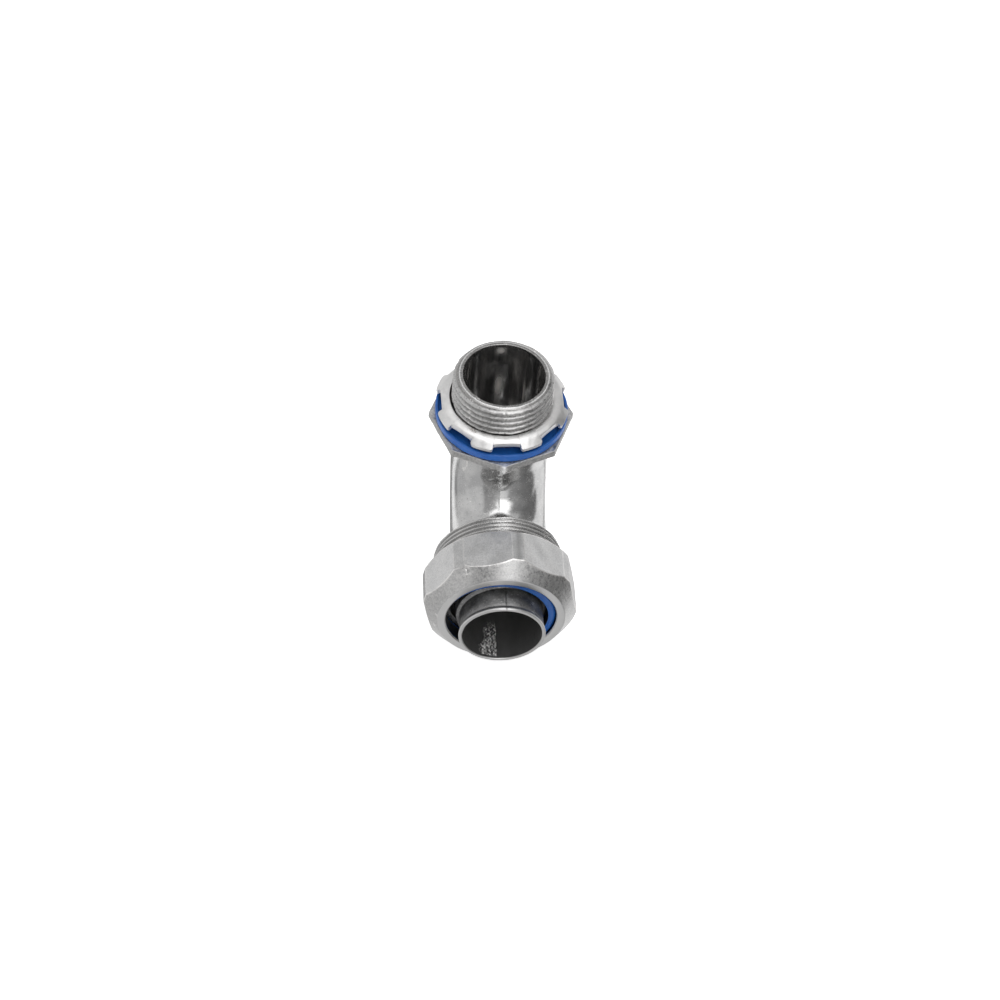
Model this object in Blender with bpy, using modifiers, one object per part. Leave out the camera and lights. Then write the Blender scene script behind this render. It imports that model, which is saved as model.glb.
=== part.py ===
"""Right-angle liquid-tight conduit connector, 3/4 trade size.

Six pieces: a die-cast elbow, the blue sealing ring and the stamped locknut on its box end,
and the ferrule, the blue sealing ring and the gland nut on its conduit end.

Frame: metres, +Z up along the box hub, conduit leaving along -Y. The origin is on the hub axis,
on the face of the flange. Sizes below are millimetres. "reach" is a distance from the hub axis
towards the conduit, so a point of reach s lies at y = -s.
"""

import math

import bmesh
import bpy
from mathutils import Matrix, Vector

MM = 0.001
PART_NAME = "conduit_connector_90"

# Driving dimensions, millimetres.
ROUND_STEPS = 40            # facets round every turned surface
CHAMFER_STEPS = 96          # facets round the gland nut's chamfers
THREAD_STEPS = 24           # facets in one turn of a thread
ARC_STEPS = 10              # straight lengths in the bend
THREAD_PHASE = 2.0          # degrees, keeps a thread's edges off the facets it joins

BORE_R = 10.5               # wire passage, hub end to elbow
TUBE_R = 12.6               # outside of the elbow
BEND_R = 21.0               # centre line of the bend
CONDUIT_DROP = 32.3         # conduit axis below the flange face

HUB_TOP = 14.4
HUB_RIM_R = 11.5            # the rim's bevel starts here and reaches the thread's root
HUB_RIM_BEVEL = 0.65
HUB_THREAD_R = 13.2         # 3/4-14 straight pipe thread
HUB_ROOT_R = 12.15
HUB_PITCH = 25.4 / 14
HUB_THREAD_FROM = 1.2
HUB_THREAD_TO = 13.1

FLANGE_CORNER_R = 18.9
FLANGE_THICKNESS = 2.1

BARREL_FROM = 21.7          # reach of the gland barrel's shoulder
BARREL_TO = 36.5
BARREL_BACK_BEVEL = (0.8, 0.6)  # across and along
BARREL_FRONT_BEVEL = 0.5
GLAND_THREAD_R = 17.1
GLAND_ROOT_R = 16.4
GLAND_PITCH = 25.4 / 20
GLAND_THREAD_FROM = 22.6
GLAND_THREAD_TO = 35.8
COUNTERBORE_R = 14.5        # pocket for the ferrule's cup
COUNTERBORE_FROM = 31.3

NUT_CORNER_R = 20.3
NUT_CORNER_HALF_ANGLE = 4.25    # each octagon corner is cut by a narrow flat
NUT_TURN = -10.1                # first corner, from +X towards +Z
NUT_CLEAR = 0.02                # keeps the chamfers' widest circle off the corners
NUT_BACK = 28.9
NUT_FRONT = 43.2
NUT_FACE_R = 16.6           # outside of the flat front ring
NUT_CHAMFER_FROM = 39.0     # where the front chamfer meets the corners
NUT_BACK_BEVEL = 1.4
NUT_MOUTH_R = 14.4
NUT_MOUTH_BEVEL = 0.3
NUT_BORE_R = 16.55
NUT_GROOVE_R = 17.3
NUT_SEAT_FROM = 40.4        # the bore narrows in a cone from here
NUT_SEAT_TO = 42.7

RING_CENTRE = (-0.95, -0.75)    # the loose gland ring lies off the axis, along X and Z
RING_BORE_R = 13.3
RING_BACK_BORE_R = 13.5
RING_OUTER_R = 15.2
RING_NOSE_R = 13.5
RING_BACK = 38.1
RING_FRONT = 42.2
RING_NOSE = 2.0             # length of the cone at its front
RING_BORE_LENGTH = 1.5      # the straight part of its bore, from the front

FERRULE_BORE_R = 10.3
FERRULE_NECK_R = 10.9
FERRULE_LIP_R = 11.3
FERRULE_RIDGE_R = 11.8
FERRULE_RIDGE_PITCH = 3.6
FERRULE_RIDGE_FROM = 34.8
FERRULE_RIDGE_TURNS = 2.25
FERRULE_RIDGE_BASE = 2.2    # widths of the ridge at its foot and crest
FERRULE_RIDGE_CREST = 0.7
FERRULE_RIDGE_FADE = 70     # degrees over which each end rises
FERRULE_RIDGE_ANGLE = -90   # where it starts, from +X towards +Z
FERRULE_FRONT = 48.4
FERRULE_LIP = 0.6           # length of the lip, then of lip and flare together
FERRULE_FLARE = 1.5
FERRULE_LIP_BEVEL = (0.1, 0.15)
FERRULE_BACK = 31.7
FERRULE_CUP_R = 13.45       # inside of the cup, round the conduit's jacket
FERRULE_SHEET = 0.75
FERRULE_FLANGE_R = 15.9
FERRULE_FLANGE_FROM = 36.8

SEAL_OUTER_R = 17.3
SEAL_BORE_R = 13.5
SEAL_BOTTOM = 0.25
SEAL_TOP = 2.4
SEAL_FLOOR = 1.6            # recess inside the raised lip
SEAL_LIP = 1.0

LOCKNUT_BORE_R = 12.4
LOCKNUT_GROOVE_R = 13.4
LOCKNUT_RING_R = 15.8
LOCKNUT_TAB_R = 17.45
LOCKNUT_TOP = 6.2
LOCKNUT_FLAT_R = 13.8       # the flat middle ends here
LOCKNUT_BEND = (15.6, 5.8)  # radius and height where the tabs bend down
LOCKNUT_TAB_Z = 4.5         # height of a tab's upper edge
LOCKNUT_TAB_FOOT = (16.9, 3.25)
LOCKNUT_UNDERBEND = (14.9, 4.3)
LOCKNUT_UNDERSIDE = 4.5
LOCKNUT_TABS = 8
LOCKNUT_TURN = 24.25        # middle of the first tab, from +X towards +Y
LOCKNUT_NOTCH = 7.2
LOCKNUT_NOTCH_SIZE = (6.0, 12.0)    # the notch cutter, outwards and along Z

THREAD_BASE = 0.70          # widths of a thread's base and crest, in pitches
THREAD_CREST = 0.15
FLANK_GAP = 0.12            # room on each flank between mating threads
EMBED = 0.35                # how far a thread's root reaches into what it joins
LEAST_GROOVE = 0.1          # a groove's bottom is at least this many pitches wide
OVERCUT = 2.0               # how far a cutter stands out past what it cuts
OVERLAP = 1.0               # how far joined solids reach into each other

WELD = 1e-6                 # metres

# Turns a piece modelled along +Z so that it lies along the conduit axis, reach = old z.
TO_CONDUIT = Matrix.Translation((0, 0, -CONDUIT_DROP * MM)) @ Matrix.Rotation(math.radians(90), 4, "X")


def clear_scene():
    for obj in list(bpy.data.objects):
        bpy.data.objects.remove(obj, do_unlink=True)


def make_collection(name):
    collection = bpy.data.collections.new(name)
    bpy.context.scene.collection.children.link(collection)
    return collection


def make_material(name, colour, roughness, metallic):
    material = bpy.data.materials.new(name)
    material.use_nodes = True
    shader = material.node_tree.nodes["Principled BSDF"]
    shader.inputs["Base Color"].default_value = (*colour, 1)
    shader.inputs["Roughness"].default_value = roughness
    shader.inputs["Metallic"].default_value = metallic
    return material


def add_object(name, mesh, collection, material=None):
    obj = bpy.data.objects.new(name, mesh)
    collection.objects.link(obj)
    if material:
        mesh.materials.append(material)
    if collection == cutters:
        obj.hide_render = True
        obj.display_type = "WIRE"
    return obj


def mesh_from(bm, name):
    mesh = bpy.data.meshes.new(name)
    bm.to_mesh(mesh)
    bm.free()
    return mesh


def turned(name, profile, collection, material=None, place=Matrix(), steps=ROUND_STEPS):
    """A closed profile of (radius, height) points, down its outer side, turned about Z."""
    bm = bmesh.new()
    points = [bm.verts.new((radius * MM, 0, height * MM)) for radius, height in profile]
    for first, second in zip(points, points[1:] + points[:1]):
        bm.edges.new((first, second))
    obj = add_object(name, mesh_from(bm, name), collection, material)
    screw = obj.modifiers.new("Turn", "SCREW")
    screw.steps = screw.render_steps = steps
    screw.use_merge_vertices = True
    screw.merge_threshold = WELD
    screw.use_smooth_shade = True
    obj.matrix_world = place
    return obj


def plug(name, radius, low, high, place=Matrix(), steps=ROUND_STEPS):
    """A solid cylinder or prism along Z, for joining or cutting."""
    bm = bmesh.new()
    bmesh.ops.create_cone(
        bm, cap_ends=True, segments=steps, radius1=radius * MM, radius2=radius * MM,
        depth=(high - low) * MM, matrix=Matrix.Translation((0, 0, (low + high) / 2 * MM)),
    )
    obj = add_object(name, mesh_from(bm, name), cutters)
    obj.matrix_world = place
    return obj


def helix(name, base_r, crest_r, pitch, low, high, base, crest, start_angle=THREAD_PHASE,
          taper=0.0, place=Matrix()):
    """A right-hand ridge from low to high, a loft of four-cornered sections.

    base and crest are the ridge's widths along Z at base_r and crest_r, in millimetres.
    Each end rises from half height over taper degrees.
    """
    turns = (high - low) / pitch
    count = round(turns * THREAD_STEPS)
    bm = bmesh.new()
    rings = []
    for index in range(count + 1):
        degrees = 360 * index / THREAD_STEPS
        middle = low + pitch * degrees / 360
        from_end = min(degrees, 360 * count / THREAD_STEPS - degrees)
        rise = min(1.0, 0.5 + 0.5 * from_end / taper) if taper else 1.0
        peak_r = base_r + (crest_r - base_r) * rise
        angle = math.radians(degrees + start_angle)
        section = []
        for radius, offset in ((base_r, -base / 2), (peak_r, -crest / 2),
                               (peak_r, crest / 2), (base_r, base / 2)):
            point = Vector((radius * math.cos(angle), radius * math.sin(angle), middle + offset))
            section.append(bm.verts.new(point * MM))
        rings.append(section)
    for near, far in zip(rings, rings[1:]):
        for side in range(4):
            after = (side + 1) % 4
            bm.faces.new((near[side], far[side], far[after], near[after]))
    bm.faces.new(rings[0])
    bm.faces.new(list(reversed(rings[-1])))
    bmesh.ops.recalc_face_normals(bm, faces=bm.faces)
    obj = add_object(name, mesh_from(bm, name), cutters)
    obj.matrix_world = place
    return obj


def male_thread(name, root_r, crest_r, pitch, low, high, place=Matrix()):
    slope = (THREAD_BASE - THREAD_CREST) * pitch / (crest_r - root_r)
    base = THREAD_BASE * pitch + slope * EMBED
    return helix(name, root_r - EMBED, crest_r, pitch, low, high, base,
                 THREAD_CREST * pitch, place=place)


def female_groove(name, root_r, crest_r, pitch, bore_r, groove_r, low, high, place=Matrix()):
    """The cutter for a nut's thread: the male ridge's outline plus the flank gap."""
    slope = (THREAD_BASE - THREAD_CREST) * pitch / (crest_r - root_r)

    def width(radius):
        return THREAD_BASE * pitch - slope * (radius - root_r) + 2 * FLANK_GAP

    inner_r = bore_r - EMBED
    return helix(name, inner_r, groove_r, pitch, low, high, width(inner_r),
                 max(width(groove_r), LEAST_GROOVE * pitch), place=place)


def swept(name, radius, path):
    """A round bar along a path of points, as a mesh with welded caps."""
    curve = bpy.data.curves.new(name, "CURVE")
    curve.dimensions = "3D"
    curve.bevel_depth = radius * MM
    curve.bevel_resolution = (ROUND_STEPS - 4) // 2
    curve.use_fill_caps = True
    spline = curve.splines.new("POLY")
    spline.points.add(len(path) - 1)
    for point, place in zip(spline.points, path):
        point.co = (*(Vector(place) * MM), 1)
    holder = bpy.data.objects.new(name + "_curve", curve)
    cutters.objects.link(holder)
    bpy.context.view_layer.update()
    evaluated = holder.evaluated_get(bpy.context.evaluated_depsgraph_get())
    mesh = bpy.data.meshes.new_from_object(evaluated)
    bm = bmesh.new()
    bm.from_mesh(mesh)
    bmesh.ops.remove_doubles(bm, verts=bm.verts, dist=WELD)
    bmesh.ops.recalc_face_normals(bm, faces=bm.faces)
    bm.to_mesh(mesh)
    bm.free()
    obj = add_object(name, mesh, cutters)
    obj.matrix_world = holder.matrix_world.copy()
    bpy.data.objects.remove(holder)
    return obj


def boolean(obj, operation, tools):
    """One exact Boolean with all the tools, which move to a collection of their own."""
    modifier = obj.modifiers.new(operation.title(), "BOOLEAN")
    modifier.operation = operation
    modifier.solver = "EXACT"
    if len(tools) == 1:
        modifier.object = tools[0]
        return
    group = bpy.data.collections.new(f"{obj.name}_{operation.lower()}")
    cutters.children.link(group)
    for tool in tools:
        cutters.objects.unlink(tool)
        group.objects.link(tool)
    modifier.operand_type = "COLLECTION"
    modifier.collection = group


def bend_path(top, reach):
    """Down the hub axis from top, round the bend and out along the conduit axis to reach."""
    centre_y = -BEND_R
    centre_z = BEND_R - CONDUIT_DROP
    path = [(0, 0, top)]
    for index in range(ARC_STEPS + 1):
        angle = math.radians(90) * index / ARC_STEPS
        path.append((0, centre_y + BEND_R * math.cos(angle), centre_z - BEND_R * math.sin(angle)))
    path.append((0, -reach, -CONDUIT_DROP))
    return path


def build_elbow():
    body = swept("elbow_body", TUBE_R, bend_path(-OVERLAP, BARREL_FROM + OVERLAP))
    cutters.objects.unlink(body)
    parts.objects.link(body)
    body.hide_render = False
    body.display_type = "TEXTURED"
    body.data.materials.append(zinc)
    hub = turned("hub_core", [
        (0, HUB_TOP), (HUB_RIM_R, HUB_TOP), (HUB_ROOT_R, HUB_TOP - HUB_RIM_BEVEL),
        (HUB_ROOT_R, -OVERLAP / 2), (0, -OVERLAP / 2),
    ], cutters)
    flange = plug("flange_plate", FLANGE_CORNER_R, -FLANGE_THICKNESS, 0, steps=8)
    across, along = BARREL_BACK_BEVEL
    barrel = turned("barrel_core", [
        (0, BARREL_TO), (GLAND_ROOT_R - BARREL_FRONT_BEVEL, BARREL_TO),
        (GLAND_ROOT_R, BARREL_TO - BARREL_FRONT_BEVEL), (GLAND_ROOT_R, BARREL_FROM + along),
        (GLAND_ROOT_R - across, BARREL_FROM), (0, BARREL_FROM),
    ], cutters, place=TO_CONDUIT)
    hub_thread = male_thread("hub_thread", HUB_ROOT_R, HUB_THREAD_R, HUB_PITCH,
                             HUB_THREAD_FROM, HUB_THREAD_TO)
    gland_thread = male_thread("gland_thread", GLAND_ROOT_R, GLAND_THREAD_R, GLAND_PITCH,
                               GLAND_THREAD_FROM, GLAND_THREAD_TO, place=TO_CONDUIT)
    boolean(body, "UNION", [flange, hub, barrel, hub_thread, gland_thread])
    passage = swept("wire_passage", BORE_R, bend_path(HUB_TOP + OVERCUT, BARREL_TO + OVERCUT))
    pocket = plug("ferrule_pocket", COUNTERBORE_R, COUNTERBORE_FROM, BARREL_TO + OVERCUT + OVERLAP,
                  place=TO_CONDUIT)
    boolean(body, "DIFFERENCE", [passage, pocket])
    return body


def build_hub_seal():
    lip_r = SEAL_OUTER_R - SEAL_LIP
    return turned("hub_sealing_ring", [
        (SEAL_OUTER_R, SEAL_TOP), (SEAL_OUTER_R, SEAL_BOTTOM), (SEAL_BORE_R, SEAL_BOTTOM),
        (SEAL_BORE_R, SEAL_FLOOR), (lip_r, SEAL_FLOOR), (lip_r, SEAL_TOP),
    ], parts, blue)


def build_locknut():
    """A stamped ring, dished so that its eight tabs bend down towards the box wall."""
    nut = turned("locknut", [
        (LOCKNUT_BORE_R, LOCKNUT_TOP), (LOCKNUT_FLAT_R, LOCKNUT_TOP), LOCKNUT_BEND,
        (LOCKNUT_TAB_R, LOCKNUT_TAB_Z), LOCKNUT_TAB_FOOT, LOCKNUT_UNDERBEND,
        (LOCKNUT_BORE_R, LOCKNUT_UNDERSIDE),
    ], parts, plated_steel)
    cuts = []
    for index in range(LOCKNUT_TABS):
        turn = math.radians(LOCKNUT_TURN + (index + 0.5) * 360 / LOCKNUT_TABS)
        bm = bmesh.new()
        bmesh.ops.create_cube(bm, size=1)
        notch = add_object(f"locknut_notch_{index}", mesh_from(bm, "notch"), cutters)
        outwards, upwards = LOCKNUT_NOTCH_SIZE
        notch.matrix_world = (
            Matrix.Rotation(turn, 4, "Z")
            @ Matrix.Translation(((LOCKNUT_RING_R + outwards / 2) * MM, 0, LOCKNUT_TOP * MM))
            @ Matrix.Diagonal((outwards * MM, LOCKNUT_NOTCH * MM, upwards * MM, 1))
        )
        cuts.append(notch)
    cuts.append(female_groove(
        "locknut_groove", HUB_ROOT_R, HUB_THREAD_R, HUB_PITCH, LOCKNUT_BORE_R, LOCKNUT_GROOVE_R,
        HUB_THREAD_FROM + HUB_PITCH, HUB_THREAD_FROM + 4 * HUB_PITCH))
    boolean(nut, "DIFFERENCE", cuts)
    return nut


def build_gland_nut():
    """An octagon with cut corners, coned at both ends, threaded inside, with a conical seat."""
    corners = []
    for index in range(8):
        for side in (-1, 1):
            corners.append(math.radians(NUT_TURN + 45 * index + side * NUT_CORNER_HALF_ANGLE))
    bm = bmesh.new()
    base = bm.faces.new([
        bm.verts.new((NUT_CORNER_R * math.cos(a) * MM, NUT_CORNER_R * math.sin(a) * MM, NUT_BACK * MM))
        for a in corners
    ])
    grown = bmesh.ops.extrude_face_region(bm, geom=[base])
    risen = [item for item in grown["geom"] if isinstance(item, bmesh.types.BMVert)]
    bmesh.ops.translate(bm, verts=risen, vec=(0, 0, (NUT_FRONT - NUT_BACK) * MM))
    bmesh.ops.recalc_face_normals(bm, faces=bm.faces)
    nut = add_object("gland_nut", mesh_from(bm, "gland_nut"), parts, zinc_nut)
    nut.matrix_world = TO_CONDUIT
    wide_r = NUT_CORNER_R + NUT_CLEAR
    slope = (wide_r - NUT_FACE_R) / (NUT_FRONT - NUT_CHAMFER_FROM)
    envelope = turned("nut_envelope", [
        (0, NUT_FRONT + OVERLAP), (NUT_FACE_R - slope * OVERLAP, NUT_FRONT + OVERLAP),
        (wide_r, NUT_CHAMFER_FROM), (wide_r, NUT_BACK + NUT_BACK_BEVEL),
        (wide_r - NUT_BACK_BEVEL - OVERLAP, NUT_BACK - OVERLAP), (0, NUT_BACK - OVERLAP),
    ], cutters, place=TO_CONDUIT, steps=CHAMFER_STEPS)
    boolean(nut, "INTERSECT", [envelope])
    bore = turned("nut_bore", [
        (0, NUT_FRONT + OVERLAP), (NUT_MOUTH_R + NUT_MOUTH_BEVEL + OVERLAP, NUT_FRONT + OVERLAP),
        (NUT_MOUTH_R, NUT_FRONT - NUT_MOUTH_BEVEL), (NUT_MOUTH_R, NUT_SEAT_TO),
        (NUT_BORE_R, NUT_SEAT_FROM), (NUT_BORE_R, NUT_BACK - OVERLAP), (0, NUT_BACK - OVERLAP),
    ], cutters, place=TO_CONDUIT)
    groove = female_groove(
        "nut_groove", GLAND_ROOT_R, GLAND_THREAD_R, GLAND_PITCH, NUT_BORE_R, NUT_GROOVE_R,
        GLAND_THREAD_FROM + 4 * GLAND_PITCH, GLAND_THREAD_FROM + 12 * GLAND_PITCH,
        place=TO_CONDUIT)
    boolean(nut, "DIFFERENCE", [bore, groove])
    return nut


def build_gland_ring():
    ring = turned("gland_sealing_ring", [
        (RING_NOSE_R, RING_FRONT), (RING_OUTER_R, RING_FRONT - RING_NOSE), (RING_OUTER_R, RING_BACK),
        (RING_BACK_BORE_R, RING_BACK), (RING_BORE_R, RING_FRONT - RING_BORE_LENGTH),
        (RING_BORE_R, RING_FRONT),
    ], parts, blue)
    across, up = RING_CENTRE
    ring.matrix_world = Matrix.Translation((across * MM, 0, up * MM)) @ TO_CONDUIT
    return ring


def build_ferrule():
    """A rolled steel sleeve with a cup behind it for the conduit's jacket."""
    cup_outer_r = FERRULE_CUP_R + FERRULE_SHEET
    flange_top = FERRULE_FLANGE_FROM + FERRULE_SHEET
    cup_floor = FERRULE_BACK + FERRULE_SHEET
    across, along = FERRULE_LIP_BEVEL
    sleeve = turned("ferrule", [
        (FERRULE_LIP_R - across, FERRULE_FRONT), (FERRULE_LIP_R, FERRULE_FRONT - along),
        (FERRULE_LIP_R, FERRULE_FRONT - FERRULE_LIP),
        (FERRULE_NECK_R, FERRULE_FRONT - FERRULE_FLARE),
        (FERRULE_NECK_R, cup_floor), (FERRULE_CUP_R, cup_floor), (FERRULE_CUP_R, flange_top),
        (FERRULE_FLANGE_R, flange_top), (FERRULE_FLANGE_R, FERRULE_FLANGE_FROM),
        (cup_outer_r, FERRULE_FLANGE_FROM), (cup_outer_r, FERRULE_BACK),
        (FERRULE_BORE_R, FERRULE_BACK), (FERRULE_BORE_R, FERRULE_FRONT),
    ], parts, ferrule_steel, place=TO_CONDUIT)
    ridge = helix("ferrule_ridge", FERRULE_NECK_R - EMBED, FERRULE_RIDGE_R, FERRULE_RIDGE_PITCH,
                  FERRULE_RIDGE_FROM,
                  FERRULE_RIDGE_FROM + FERRULE_RIDGE_TURNS * FERRULE_RIDGE_PITCH,
                  FERRULE_RIDGE_BASE, FERRULE_RIDGE_CREST, start_angle=FERRULE_RIDGE_ANGLE,
                  taper=FERRULE_RIDGE_FADE, place=TO_CONDUIT)
    boolean(sleeve, "UNION", [ridge])
    return sleeve


def smooth(obj):
    """Round surfaces shade smooth and keep their real edges."""
    obj.data.shade_smooth()
    obj.data.set_sharp_from_angle(angle=math.radians(30))


clear_scene()
parts = make_collection(PART_NAME)
cutters = make_collection(PART_NAME + "_cutters")
zinc = make_material("die_cast_zinc", (0.56, 0.56, 0.55), 0.32, 1.0)
zinc_nut = make_material("satin_zinc", (0.60, 0.60, 0.60), 0.42, 1.0)
plated_steel = make_material("plated_steel", (0.74, 0.74, 0.73), 0.45, 1.0)
ferrule_steel = make_material("ferrule_steel", (0.48, 0.48, 0.50), 0.38, 1.0)
blue = make_material("blue_nylon", (0.016, 0.085, 0.36), 0.45, 0.0)

for build in (build_elbow, build_hub_seal, build_locknut, build_gland_nut, build_gland_ring,
              build_ferrule):
    smooth(build())
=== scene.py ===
"""The look of the right-angle conduit connector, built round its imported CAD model.

Metres, +Z up along the box hub, conduit leaving along -Y. Sizes in this file are millimetres
until a mesh is made. "reach" is a distance from the hub axis towards the conduit. Every piece
is a loft: rings of points, each joined to the next and the last back to the first, so that the
mesh is closed.
"""

import math

import bpy
import numpy as np
from mathutils import Matrix, Vector


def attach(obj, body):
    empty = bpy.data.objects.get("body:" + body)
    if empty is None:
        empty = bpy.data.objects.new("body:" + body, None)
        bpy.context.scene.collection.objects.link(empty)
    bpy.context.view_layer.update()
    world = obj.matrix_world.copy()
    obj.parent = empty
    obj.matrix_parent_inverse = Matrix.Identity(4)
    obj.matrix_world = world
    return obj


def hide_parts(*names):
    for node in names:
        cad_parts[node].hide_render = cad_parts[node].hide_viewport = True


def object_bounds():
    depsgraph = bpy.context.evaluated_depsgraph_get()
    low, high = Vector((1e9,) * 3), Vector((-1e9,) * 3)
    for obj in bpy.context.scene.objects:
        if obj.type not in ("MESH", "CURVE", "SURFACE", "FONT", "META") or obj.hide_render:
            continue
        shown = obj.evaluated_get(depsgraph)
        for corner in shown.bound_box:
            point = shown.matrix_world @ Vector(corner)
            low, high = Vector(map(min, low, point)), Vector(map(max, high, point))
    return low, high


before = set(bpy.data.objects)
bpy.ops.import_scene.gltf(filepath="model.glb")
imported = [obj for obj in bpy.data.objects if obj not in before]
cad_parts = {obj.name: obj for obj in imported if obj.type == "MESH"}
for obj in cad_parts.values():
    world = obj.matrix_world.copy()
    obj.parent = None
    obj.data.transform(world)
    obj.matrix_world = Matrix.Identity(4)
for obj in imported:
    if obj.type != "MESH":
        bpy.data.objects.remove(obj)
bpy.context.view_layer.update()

MM = 0.001
TAU = 2 * math.pi

# Dimensions and places, most of them the CAD model's own.
BORE_R = 10.5
TUBE_R = 12.6
BEND_R = 21.0
TUBE_SWELL = 0.25                           # how far the casting stands out along the bend
TUBE_LEAN = 0.35                            # and how much more on the +X side
CONDUIT_DROP = 32.3
HUB_TOP = 14.4
HUB_CREST_R = 13.2
HUB_ROOT_R = 12.15
HUB_PITCH = 25.4 / 14
HUB_THREAD = (1.2, 15.4)
HUB_TAPER = 0.022
HUB_RIM_R = 11.5
HUB_RIM_FALL = 0.30
FLANGE_CORNER_R = 18.9
FLANGE_THICKNESS = 2.1
BARREL_FROM = 21.7
BARREL_TO = 36.5
GLAND_CREST_R = 17.1
GLAND_ROOT_R = 16.4
GLAND_PITCH = 25.4 / 20
GLAND_THREAD = (22.6, 35.8)
COUNTERBORE_R = 14.5
COUNTERBORE_FROM = 31.3
THREAD_PHASE = 2.0
THREAD_BASE = 0.70
THREAD_CREST = 0.15
NUT_CORNER_R = 20.3
NUT_CORNER_HALF_ANGLE = 4.25
NUT_TURN = -10.1
NUT_BACK = 28.9
NUT_FRONT = 43.2
NUT_FACE_R = 16.6
NUT_MOUTH_R = 14.4
NUT_BORE_R = 16.55
NUT_GROOVE_R = 17.3
NUT_SEAT = (40.4, 42.7)
NUT_CHAMFER_FROM = 39.0
FLAW_AT = (121.5, 39.9)                     # degrees round the nut, and reach
FLAW_SIZE = (5.6, 1.5)
SHADED_FLAT_AT = 79.2                            # painted shade: a dark streak along one corner flat, in degrees
LOCKNUT_BORE_R = 12.4
LOCKNUT_GROOVE_R = 13.4
LOCKNUT_RING_R = 15.8
LOCKNUT_TAB_R = 17.45
LOCKNUT_TOP = 6.2
LOCKNUT_THICKNESS = 1.65
LOCKNUT_TURN = 24.25
LOCKNUT_NOTCH = 7.2
RUST_AT = (236, 14.2)                       # a patch of brown specks: degrees and radius
RUST_SIZE = (4.5, 0.5)
SEAL_R = 17.3                               # the hub's sealing ring
SEAL_BORE_R = 13.5
SEAL_BOTTOM = 0.25
SEAL_FLAT = 1.6
SEAL_TOP = 2.4
RING_CENTRE = (-0.95, -0.75)                # how far off the axis the gland's sealing ring lies
FERRULE_BORE_R = 10.3
FERRULE_NECK_R = 10.9
FERRULE_FRONT = 48.4
SCREW_HEIGHT = 0.9                          # the ridge round the ferrule
SCREW_PITCH = 3.6
SCREW_FROM = 34.8
SCREW_TURNS = 2.25
FRONT = 270                                 # the parting line's two sides, in degrees round the elbow
REAR = 90
BEND_START = CONDUIT_DROP - BEND_R          # below the flange face
BEND_END = BEND_START + BEND_R * math.pi / 2


# ---- numbers and meshes

def smoothstep(x):
    """0 below 0 and 1 above 1, with a smooth rise between."""
    x = np.clip(x, 0.0, 1.0)
    return x * x * (3 - 2 * x)


def smooth_min(a, b, blend):
    """The lesser of two values, rounded where they cross."""
    h = np.maximum(blend - np.abs(a - b), 0) / blend
    return np.minimum(a, b) - h * h * blend / 4


def ripple(points, size, seed):
    """Smooth repeatable noise, about -1 to 1, with features of this size in millimetres."""
    draw = np.random.default_rng(seed)
    total = np.zeros(points.shape[:-1])
    for _ in range(9):
        direction = draw.normal(size=3)
        direction *= TAU * draw.uniform(0.6, 1.5) / (size * np.linalg.norm(direction))
        total += np.sin(points @ direction + draw.uniform(0, TAU))
    return total / 3


def bell(x, centre, width):
    """1 at the centre, falling smoothly to nothing about two widths away."""
    return np.exp(-((x - centre) / width) ** 2)


def angles(count, squeeze=0.0):
    """Angles round a ring, drawn together near the corners of an octagon."""
    t = np.arange(count) * TAU / count
    return t - squeeze * np.sin(8 * t) / 8


def octagon(phi, corner_r, blend):
    """Radius of an octagon with slightly rounded corners, one of them at 0 degrees."""
    apothem = corner_r * math.cos(math.pi / 8)
    far = 1e3
    radius = np.full_like(phi, far)
    for index in range(8):
        facing = np.cos(phi - (index + 0.5) * TAU / 8)
        plane = np.where(facing > 0.3, apothem / np.maximum(facing, 0.3), far)
        radius = smooth_min(radius, plane, blend)
    return radius


def ridge(phi, along, pitch, low, high):
    """How high a right-hand thread stands at each point, 0 at the root and 1 at the crest."""
    offset = pitch * (np.degrees(phi) - THREAD_PHASE) / 360
    turn = np.round((along - low - offset) / pitch)
    centre = low + offset + turn * pitch
    half = (THREAD_BASE - THREAD_CREST) * pitch / 2
    height = np.clip((THREAD_BASE * pitch / 2 - np.abs(along - centre)) / half, 0, 1)
    height = 0.45 * height + 0.55 * smoothstep(height)
    run_in = smoothstep((centre - low + 0.3) / 0.8) * smoothstep((high + 0.3 - centre) / 0.8)
    return height * run_in


def rotated(points, angle):
    """Points of the plane turned about its origin."""
    c, s = math.cos(angle), math.sin(angle)
    return points @ np.array([(c, s), (-s, c)])


def rounded(points, radii, steps=4):
    """A polyline whose inner corners are replaced by arcs of these radii."""
    points = [np.array(p, float) for p in points]
    result = [points[0]]
    for before, corner, after, radius in zip(points, points[1:], points[2:], radii):
        a = (before - corner) / np.linalg.norm(before - corner)
        b = (after - corner) / np.linalg.norm(after - corner)
        half = math.acos(float(np.clip(a @ b, -1, 1))) / 2
        if radius == 0 or half > math.pi / 2 - 0.01:
            result.append(corner)
            continue
        centre = corner + (a + b) / np.linalg.norm(a + b) * radius / math.sin(half)
        start = corner + a * radius / math.tan(half) - centre
        sweep = math.pi - 2 * half
        turn = math.copysign(sweep, float(np.cross(start, corner - centre)))
        for step in range(steps + 1):
            result.append(centre + rotated(start, turn * step / steps))
    result.append(points[-1])
    return np.array(result)


def spread(points, gap):
    """The same polyline with points added so that none are further apart than gap."""
    result = [points[0]]
    for near, far in zip(points, points[1:]):
        count = max(1, math.ceil(float(np.linalg.norm(far - near)) / gap))
        for step in range(1, count + 1):
            result.append(near + (far - near) * step / count)
    return np.array(result)


def stretches(start, *ends):
    """Values from start through every (end, count), evenly spaced from one end to the next."""
    values = [start]
    for end, count in ends:
        values.extend(np.linspace(values[-1], end, count)[1:])
    return np.array(values)


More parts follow.
